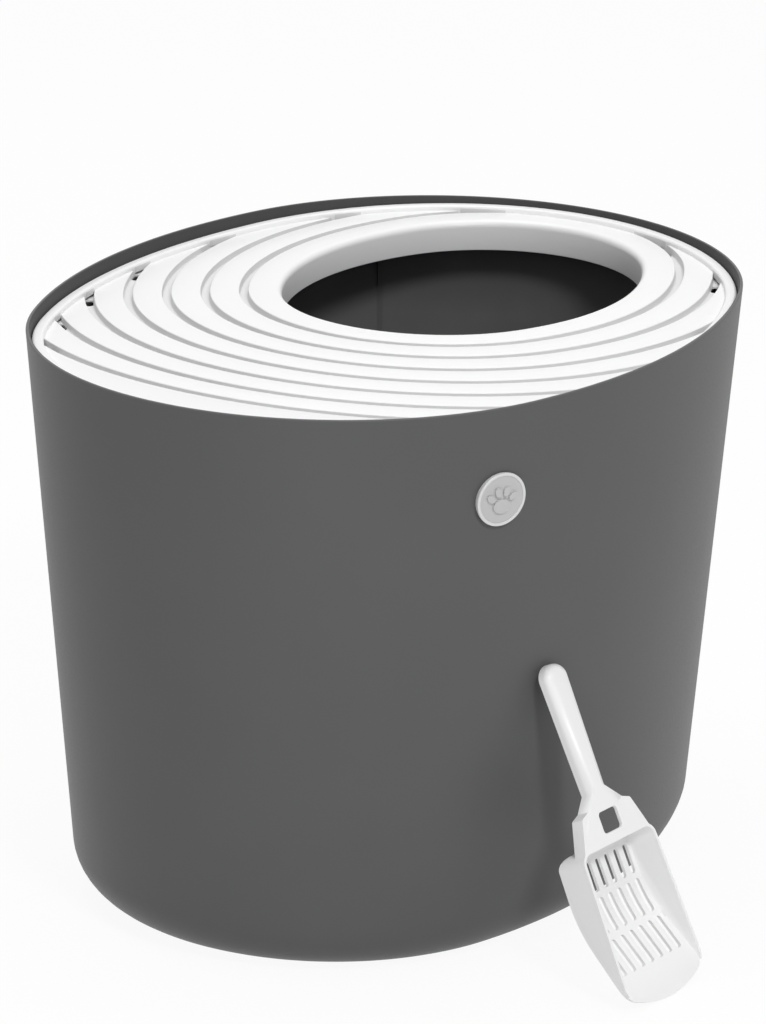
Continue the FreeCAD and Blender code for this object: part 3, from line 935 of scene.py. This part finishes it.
    def crown(self, piece: bpy.types.Object) -> None:
        """Bends the lid so that its long sides dip, while the foot of its skirt stays level.

        Args:
            piece: The lid, changed in place.
        """
        foot = (self.border_top - self.skirt_depth) * MM
        depth = (self.skirt_depth - self.border_height) * MM
        for vert in piece.data.vertices:
            share = min(1.0, max(0.0, (vert.co.z - foot) / depth))
            dip = self.crown_fall * (vert.co.y / MM / self.crown_half_width) ** 2
            vert.co.z += share * (self.crown_rise - dip) * MM

    def build(self) -> bpy.types.Object:
        """Models the lid.

        Returns:
            The lid, which stands for its node.
        """
        piece = settle(self.hole.spin(self.field_section()), "lid_panel")
        low, high = self.border_top - self.trim_below, self.border_top + self.trim_above
        block = self.tub.rim.block(self.field_edge - self.trim_overlap, low, high)
        carve(piece, settle(block, "field_trim"), Carve.TRIM)
        carve(piece, settle(self.tub.rim.spin(self.border_section()), "border"), Carve.JOIN)
        carve(piece, self.drain_tools(), Carve.CUT)
        self.mark_grooves(piece)
        self.crown(piece)
        smooth(piece, CREASE)
        return stand_for(piece, "lid", Body.LID)

    def dress(self, piece: bpy.types.Object, panel: bpy.types.Material,
              groove: bpy.types.Material) -> None:
        """Gives the lid its finishes.

        Args:
            piece: The lid.
            panel: Finish of the border, the field and the collar.
            groove: Darker finish of the marked faces, painted shade in the grooves.
        """
        finish_with(piece, Slot.WHITE, panel, groove)


@dataclass(frozen=True)
class Badge:
    """Round badge with a raised rim and a plain paw print, set on the wall. Millimetres and degrees."""

    tub: Tub
    diameter: float = 34.2
    angle: float = 61.5
    drop: float = 58.0
    pad: float = 1.0
    plate: float = 1.2
    rim_width: float = 2.0
    rim_height: float = 0.7
    paw_relief: float = 1.4
    paw_length: float = 12.0
    paw_width: float = 9.2
    paw_drop: float = 4.2
    toes: int = 4
    toe_length: float = 6.4
    toe_width: float = 4.2
    toe_radius: float = 9.6
    toe_step: float = 36.0
    paw_edge: float = 0.25
    paw_edge_steps: int = 4
    paw_facets: int = 40
    back_edge: float = 0.3
    outer_edge: float = 0.7
    inner_edge: float = 0.6
    face_fillet: float = 0.4
    edge_steps: int = 5
    facets: int = 128

    def place(self) -> Matrix:
        """Finds where the badge sits.

        Returns:
            Its place, with Z out of the wall and Y up it.
        """
        angle = math.pi + math.radians(self.angle)
        height = self.tub.height - self.drop
        slope = self.tub.base_inset / self.tub.height
        spot = self.tub.rim.point(angle, self.tub.wall_inset(height) * MM, height * MM)
        across = Vector((math.cos(angle), math.sin(angle), 0))
        outward = (across - UP * slope).normalized()
        side = UP.cross(across).normalized()
        up_wall = outward.cross(side)
        return Matrix.Translation(spot) @ Matrix((side, up_wall, outward)).transposed().to_4x4()

    def disc_section(self) -> Section:
        """Draws the disc.

        Returns:
            Half of its section, from the middle of its back to the middle of its face.
        """
        radius = self.diameter / 2
        face = self.pad + self.plate
        top = face + self.rim_height
        return Section([
            Corner(0, self.pad),
            Corner(radius, self.pad, self.back_edge),
            Corner(radius, top, self.outer_edge, self.edge_steps),
            Corner(radius - self.rim_width, top, self.inner_edge, self.edge_steps),
            Corner(radius - self.rim_width, face, self.face_fillet),
            Corner(0, face),
        ], closed=False)

    def add_pad(self, bm: bmesh.types.BMesh, length: float, width: float, matrix: Matrix) -> None:
        """Adds one raised oval of the paw with a soft edge.

        Args:
            bm: Mesh of the badge, on its own axis.
            length: Along the oval's own Y.
            width: Along its own X.
            matrix: Where its middle is.
        """
        depth = (self.plate / 2 + self.paw_relief) * MM
        shape = matrix @ Matrix.Diagonal((width / 2 * MM, length / 2 * MM, 1, 1))
        ring = bmesh.ops.create_circle(bm, cap_ends=True, segments=self.paw_facets, radius=1.0, matrix=shape)
        face = ring["verts"][0].link_faces[0]
        grown = bmesh.ops.extrude_face_region(bm, geom=[face], use_keep_orig=True)
        top = [item for item in grown["geom"] if isinstance(item, bmesh.types.BMVert)]
        bmesh.ops.translate(bm, verts=top, vec=matrix.to_3x3() @ Vector((0, 0, depth)))
        around = {edge for vert in top for edge in vert.link_edges}
        edges = [edge for edge in around if all(vert in top for vert in edge.verts)]
        bmesh.ops.bevel(bm, geom=edges, offset=self.paw_edge * MM, affect="EDGES",
                        segments=self.paw_edge_steps, profile=0.5, material=-1)

    def build(self) -> bpy.types.Object:
        """Models the badge.

        Returns:
            The badge, which stands for its node.
        """
        bm = round_piece(self.disc_section(), self.facets)
        base = Matrix.Translation((0, -self.paw_drop * MM, (self.pad + self.plate / 2) * MM))
        self.add_pad(bm, self.paw_width, self.paw_length, base)
        for toe in range(self.toes):
            turn = Matrix.Rotation(math.radians((toe - (self.toes - 1) / 2) * self.toe_step), 4, "Z")
            reach = Matrix.Translation((0, self.toe_radius * MM, 0))
            self.add_pad(bm, self.toe_length, self.toe_width, base @ turn @ reach)
        bmesh.ops.recalc_face_normals(bm, faces=bm.faces)
        bmesh.ops.transform(bm, matrix=self.place(), verts=bm.verts)
        return stand_for(settle(bm, "wall_badge"), "badge", Body.BASE)

    def dress(self, piece: bpy.types.Object, face: bpy.types.Material, rim: bpy.types.Material) -> None:
        """Gives the badge its finishes.

        Args:
            piece: The badge.
            face: Finish of the plate and the paw.
            rim: Paler finish of the raised rim, a painted highlight.
        """
        finish_with(piece, Slot.BADGE, face, rim)
        own = self.place().inverted()
        rim_start = (self.diameter / 2 - self.rim_width) * MM
        # Faces on the raised rim take the paler finish: a painted highlight.
        for polygon in piece.data.polygons:
            polygon.material_index = int((own @ polygon.center).xy.length > rim_start)

    def dress_pad(self, material: bpy.types.Material) -> None:
        """Gives the foam pad behind the badge, which keeps the shape of its solid, a finish.

        Args:
            material: The finish.
        """
        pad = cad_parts["badge_adhesive_pad"]
        pad.data.materials.clear()
        pad.data.materials.append(material)


@dataclass(frozen=True)
class Feet:
    """Four round rubber feet with a grooved sole. Millimetres."""

    diameter: float = 20.0
    thickness: float = 3.0
    edge: float = 0.6
    tread: float = 0.5
    tread_radii: tuple[float, ...] = (3.0, 5.5, 8.0)
    tread_half: float = 0.5
    tread_edge: float = 0.15
    top_edge: float = 0.2
    facets: int = 64

    def section(self) -> Section:
        """Draws a foot.

        Returns:
            Half of its section, from the middle of its sole to the middle of its top.
        """
        corners = [Corner(0, 0)]
        for radius in self.tread_radii:
            near, far = radius - self.tread_half, radius + self.tread_half
            corners += [Corner(near, 0), Corner(near, self.tread, self.tread_edge),
                        Corner(far, self.tread, self.tread_edge), Corner(far, 0)]
        side = self.diameter / 2
        corners += [Corner(side, 0, self.edge), Corner(side, self.thickness, self.top_edge),
                    Corner(0, self.thickness)]
        return Section(corners, closed=False)

    def places(self) -> dict[str, Vector]:
        """Finds the feet in the frame.

        Returns:
            The middle of the sole of each foot, by the name of its node.
        """
        nodes = sorted(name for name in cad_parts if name.startswith("rubber_foot_"))
        corners = {node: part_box(node) for node in nodes}
        return {node: Vector(((low.x + high.x) / 2, (low.y + high.y) / 2, low.z))
                for node, (low, high) in corners.items()}

    def build(self) -> list[bpy.types.Object]:
        """Models the feet.

        Returns:
            The feet, each standing for its node.
        """
        made = []
        for node, place in self.places().items():
            bm = round_piece(self.section(), self.facets)
            bmesh.ops.translate(bm, verts=bm.verts, vec=place)
            piece = settle(bm, node.replace("rubber_foot", "foot_pad"))
            made.append(stand_for(piece, node, Body.BASE))
        return made

    def dress(self, pieces: list[bpy.types.Object], material: bpy.types.Material) -> None:
        """Gives the feet their finish."""
        for piece in pieces:
            finish_with(piece, Slot.RUBBER, material)


@dataclass(frozen=True)
class Scoop:
    """Slotted scoop, leaning on the wall. Millimetres and degrees; lengths count up from its lip."""

    lean: float = 25.5
    turn: float = -7.5
    neck_start: float = 124.0
    neck_end: float = 142.0
    handle_fullness: float = 0.15
    slot_low: float = 20.0
    slot_middle: float = 71.0
    slot_high: float = 108.0
    slot_rise: float = 3.5
    flat_angle: float = 0.6
    crease: float = 32.0

    def stance(self) -> Matrix:
        """How the scoop leans, as a turn of its own axes: X across the lip and Y up the handle."""
        spin = Matrix.Rotation(math.radians(self.turn), 4, "Z")
        return spin @ Matrix.Rotation(math.radians(90 - self.lean), 4, "X")

    def form(self, bm: bmesh.types.BMesh) -> None:
        """Fills out the handle and draws the slots up the bowl.

        Args:
            bm: Mesh of the scoop, turned to its own axes.
        """
        sides = [vert.co.x for vert in bm.verts]
        middle = (min(sides) + max(sides)) / 2
        lip = min(vert.co.y for vert in bm.verts)
        for vert in bm.verts:
            along = (vert.co.y - lip) / MM
            share = min(1.0, max(0.0, (along - self.neck_start) / (self.neck_end - self.neck_start)))
            fullness = 1 + self.handle_fullness * share * share * (3 - 2 * share)
            vert.co.x = middle + (vert.co.x - middle) * fullness
            below = (along - self.slot_low) / (self.slot_middle - self.slot_low)
            above = (self.slot_high - along) / (self.slot_high - self.slot_middle)
            vert.co.y += self.slot_rise * max(0.0, min(below, above)) * MM

    def build(self) -> bpy.types.Object:
        """Models the scoop.

        Returns:
            The scoop, which stands for its node.
        """
        bm = bmesh.new()
        bm.from_mesh(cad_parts["scoop"].data)
        bmesh.ops.remove_doubles(bm, verts=bm.verts, dist=MERGE_DISTANCE)
        bmesh.ops.transform(bm, matrix=self.stance().inverted(), verts=bm.verts)
        self.form(bm)
        bmesh.ops.transform(bm, matrix=self.stance(), verts=bm.verts)
        flat = math.radians(self.flat_angle)
        bmesh.ops.dissolve_limit(bm, angle_limit=flat, verts=bm.verts, edges=bm.edges)
        return stand_for(settle(bm, "litter_scoop", self.crease), "scoop", Body.SCOOP)

    def dress(self, piece: bpy.types.Object, material: bpy.types.Material) -> None:
        """Gives the scoop its finish, a paler copy of the lid's white plastic, as painted light."""
        finish_with(piece, Slot.WHITE, material)


@dataclass(frozen=True)
class Lamp:
    """A large round soft lamp. Metres and watts."""

    name: str
    power: float
    size: float
    place: Place
    target: Place = (0.0, 0.0, 0.2)

    def build(self) -> None:
        """Makes the lamp and aims it."""
        data = bpy.data.lights.new(self.name, "AREA")
        data.shape = "DISK"
        data.size = self.size
        data.energy = self.power
        lamp = bpy.data.objects.new(self.name, data)
        place = Vector(self.place)
        aim = (Vector(self.target) - place).to_track_quat("-Z", "Y")
        lamp.matrix_world = Matrix.Translation(place) @ aim.to_matrix().to_4x4()
        bpy.context.scene.collection.objects.link(lamp)


@dataclass(frozen=True)
class Studio:
    """Pale floor, white surroundings and the lamps."""

    lamps: tuple[Lamp, ...]
    floor_size: float = 60.0
    floor_colour: Colour = (0.92, 0.92, 0.92)
    floor_roughness: float = 0.9
    floor_glow: float = 0.93
    sky: float = 0.35

    def build(self) -> None:
        """Makes the floor, the world and the lamps."""
        self.build_floor()
        self.build_world()
        for lamp in self.lamps:
            lamp.build()

    def seen_directly(self, tree: bpy.types.NodeTree) -> bpy.types.NodeSocket:
        """Adds the test for rays that show the surroundings: from the camera, a gloss or glass.

        Args:
            tree: Tree that takes the nodes.

        Returns:
            One for such a ray, nought for others.
        """
        path = tree.nodes.new("ShaderNodeLightPath")
        result = path.outputs["Is Camera Ray"]
        for name in ("Is Glossy Ray", "Is Transmission Ray"):
            either = tree.nodes.new("ShaderNodeMath")
            either.operation = "MAXIMUM"
            tree.links.new(result, either.inputs[0])
            tree.links.new(path.outputs[name], either.inputs[1])
            result = either.outputs[0]
        return result

    def build_floor(self) -> None:
        """Makes the floor, white to the eye apart from soft shadows."""
        bm = bmesh.new()
        bmesh.ops.create_grid(bm, x_segments=1, y_segments=1, size=self.floor_size / 2)
        floor = settle(bm, "floor")
        material = bpy.data.materials.new("pale_floor")
        material.use_nodes = True
        tree = material.node_tree
        surface = tree.nodes["Principled BSDF"]
        surface.inputs["Base Color"].default_value = (*self.floor_colour, 1)
        surface.inputs["Roughness"].default_value = self.floor_roughness
        surface.inputs["Specular IOR Level"].default_value = 0.0
        glow = tree.nodes.new("ShaderNodeEmission")
        share = tree.nodes.new("ShaderNodeMath")
        share.operation = "MULTIPLY"
        share.inputs[1].default_value = self.floor_glow
        tree.links.new(self.seen_directly(tree), share.inputs[0])
        mix = tree.nodes.new("ShaderNodeMixShader")
        tree.links.new(share.outputs[0], mix.inputs["Fac"])
        tree.links.new(surface.outputs["BSDF"], mix.inputs[1])
        tree.links.new(glow.outputs["Emission"], mix.inputs[2])
        tree.links.new(mix.outputs["Shader"], tree.nodes["Material Output"].inputs["Surface"])
        floor.data.materials.append(material)

    def build_world(self) -> None:
        """Makes white surroundings that light the object softly."""
        world = bpy.data.worlds.new("studio")
        world.use_nodes = True
        tree = world.node_tree
        light = tree.nodes["Background"]
        light.inputs["Color"].default_value = (1, 1, 1, 1)
        light.inputs["Strength"].default_value = self.sky
        backdrop = tree.nodes.new("ShaderNodeBackground")
        backdrop.inputs["Color"].default_value = (1, 1, 1, 1)
        backdrop.inputs["Strength"].default_value = 1.0
        mix = tree.nodes.new("ShaderNodeMixShader")
        tree.links.new(self.seen_directly(tree), mix.inputs["Fac"])
        tree.links.new(light.outputs["Background"], mix.inputs[1])
        tree.links.new(backdrop.outputs["Background"], mix.inputs[2])
        tree.links.new(mix.outputs["Shader"], tree.nodes["World Output"].inputs["Surface"])
        bpy.context.scene.world = world


@dataclass(frozen=True)
class PhotoCamera:
    """Long lens at the photograph's viewing angle. Degrees and metres."""

    azimuth: float = -60.545
    elevation: float = 19.258
    distance: float = 3.671
    target: Place = (0.0, 0.0, 0.185)
    yaw: float = -0.044
    pitch: float = 0.651
    roll: float = 0.674
    lens: float = 201.2
    reach: float = 100.0

    def build(self) -> None:
        """Makes the camera and gives it to the scene."""
        turn, tilt = math.radians(self.azimuth), math.radians(self.elevation)
        level = math.cos(tilt)
        back = Vector((math.sin(turn) * level, -math.cos(turn) * level, math.sin(tilt)))
        place = Vector(self.target) + back * self.distance
        right = UP.cross(back).normalized()
        up = back.cross(right)
        facing = Matrix((right, up, back)).transposed().to_4x4()
        for angle, axis in ((-self.yaw, "Y"), (self.pitch, "X"), (self.roll, "Z")):
            facing = facing @ Matrix.Rotation(math.radians(angle), 4, axis)
        data = bpy.data.cameras.new("photo_camera")
        data.lens = self.lens
        data.clip_end = self.reach
        camera = bpy.data.objects.new("photo_camera", data)
        camera.matrix_world = Matrix.Translation(place) @ facing
        bpy.context.scene.collection.objects.link(camera)
        bpy.context.scene.camera = camera


def grey(value: float) -> Colour:
    """A neutral colour."""
    return (value, value, value)


def dark_grey(value: float) -> Colour:
    """A dark grey that is a touch cool."""
    return (value, value, value + COOL_TOUCH)


RIM = Oval(length=0.520, width=0.410, flank_radius=0.386)
ENTRY_HOLE = Oval(length=0.270, width=0.216, flank_radius=0.172, end_steps=96, flank_steps=48)

TUB_PLASTIC = MouldedPlastic("tub_plastic", dark_grey(0.102), dark_grey(0.097), smoothest=0.42, roughest=0.5,
                             grain=900.0, relief=0.00004, specular=0.25)
# Inside faces darker than the outside as painted shade, and paler below a height as painted light.
TUB_INSIDE_PAINTED_LIGHT_SHADE = PaintedLightPlastic("tub_inner_face", dark_grey(0.060), grey(0.15), light_low=0.29, light_high=0.345,
                            smoothest=0.55, roughest=0.65, grain=700.0, relief=0.00005, specular=0.15)
LID_PLASTIC = MouldedPlastic("lid_plastic", grey(0.86), grey(0.845), smoothest=0.34, roughest=0.42,
                             grain=1100.0, relief=0.00003)
# Darker copy of the lid's white for the groove faces: painted shade in the grooves.
GROOVE_PAINTED_SHADE = MouldedPlastic("lid_groove_painted_shade", grey(0.70), grey(0.67), smoothest=0.5, roughest=0.6,
                                grain=1100.0, relief=0.00003)
# Same white plastic as the lid, made paler: the extra paleness is painted light on the scoop.
SCOOP_PLASTIC_PAINTED_LIGHT = MouldedPlastic("scoop_plastic", grey(0.90), grey(0.885), smoothest=0.3, roughest=0.38,
                               grain=1300.0, relief=0.00003)
BADGE_PLASTIC = MouldedPlastic("badge_plastic", grey(0.52), grey(0.49), smoothest=0.3, roughest=0.4,
                               grain=2200.0, relief=0.00002)
# Paler copy of the badge plastic for the raised rim: a painted highlight.
BADGE_RIM_PAINTED_HIGHLIGHT = MouldedPlastic("badge_rim_painted_highlight", grey(0.70), grey(0.67), smoothest=0.22, roughest=0.3,
                           grain=2200.0, relief=0.00001)
PAD_FOAM = SoftFoam("pad_foam", (0.70, 0.70, 0.68), (0.62, 0.61, 0.58), cells=2400.0, pit=0.0001)
FOOT_RUBBER = SoftFoam("foot_rubber", (0.02, 0.02, 0.021), (0.06, 0.058, 0.055), cells=1500.0, pit=0.00005)

LAMPS = (
    Lamp("overhead", power=76.0, size=3.0, place=(0.3, 0.5, 4.0)),
    Lamp("front_low", power=7.0, size=1.2, place=(-3.0, -1.7, 0.65)),
    Lamp("front_right", power=76.0, size=0.9, place=(-2.0, -2.65, 3.3)),
)


def main() -> None:
    """Builds and dresses the litter box piece by piece, then the studio round it."""
    logging.basicConfig(level=logging.INFO, format="%(message)s")
    bpy.context.scene.view_settings.view_transform = "Standard"
    PhotoCamera().build()
    Studio(LAMPS).build()
    feet = Feet()
    tub = Tub(RIM)
    shell = tub.build(list(feet.places().values()))
    tub.dress(shell, TUB_PLASTIC.build(), TUB_INSIDE_PAINTED_LIGHT_SHADE.build())
    log.info("tub: %d faces", len(shell.data.polygons))
    lid = Lid(tub, ENTRY_HOLE)
    panel = lid.build()
    lid.dress(panel, LID_PLASTIC.build(), GROOVE_PAINTED_SHADE.build())
    log.info("lid: %d faces", len(panel.data.polygons))
    badge = Badge(tub)
    disc = badge.build()
    badge.dress(disc, BADGE_PLASTIC.build(), BADGE_RIM_PAINTED_HIGHLIGHT.build())
    log.info("badge: %d faces", len(disc.data.polygons))
    badge.dress_pad(PAD_FOAM.build())
    log.info("adhesive pad: dressed")
    pads = feet.build()
    feet.dress(pads, FOOT_RUBBER.build())
    log.info("feet: %d", len(pads))
    scoop = Scoop()
    tool = scoop.build()
    scoop.dress(tool, SCOOP_PLASTIC_PAINTED_LIGHT.build())
    log.info("scoop: %d faces", len(tool.data.polygons))


if __name__ == "__main__":
    main()
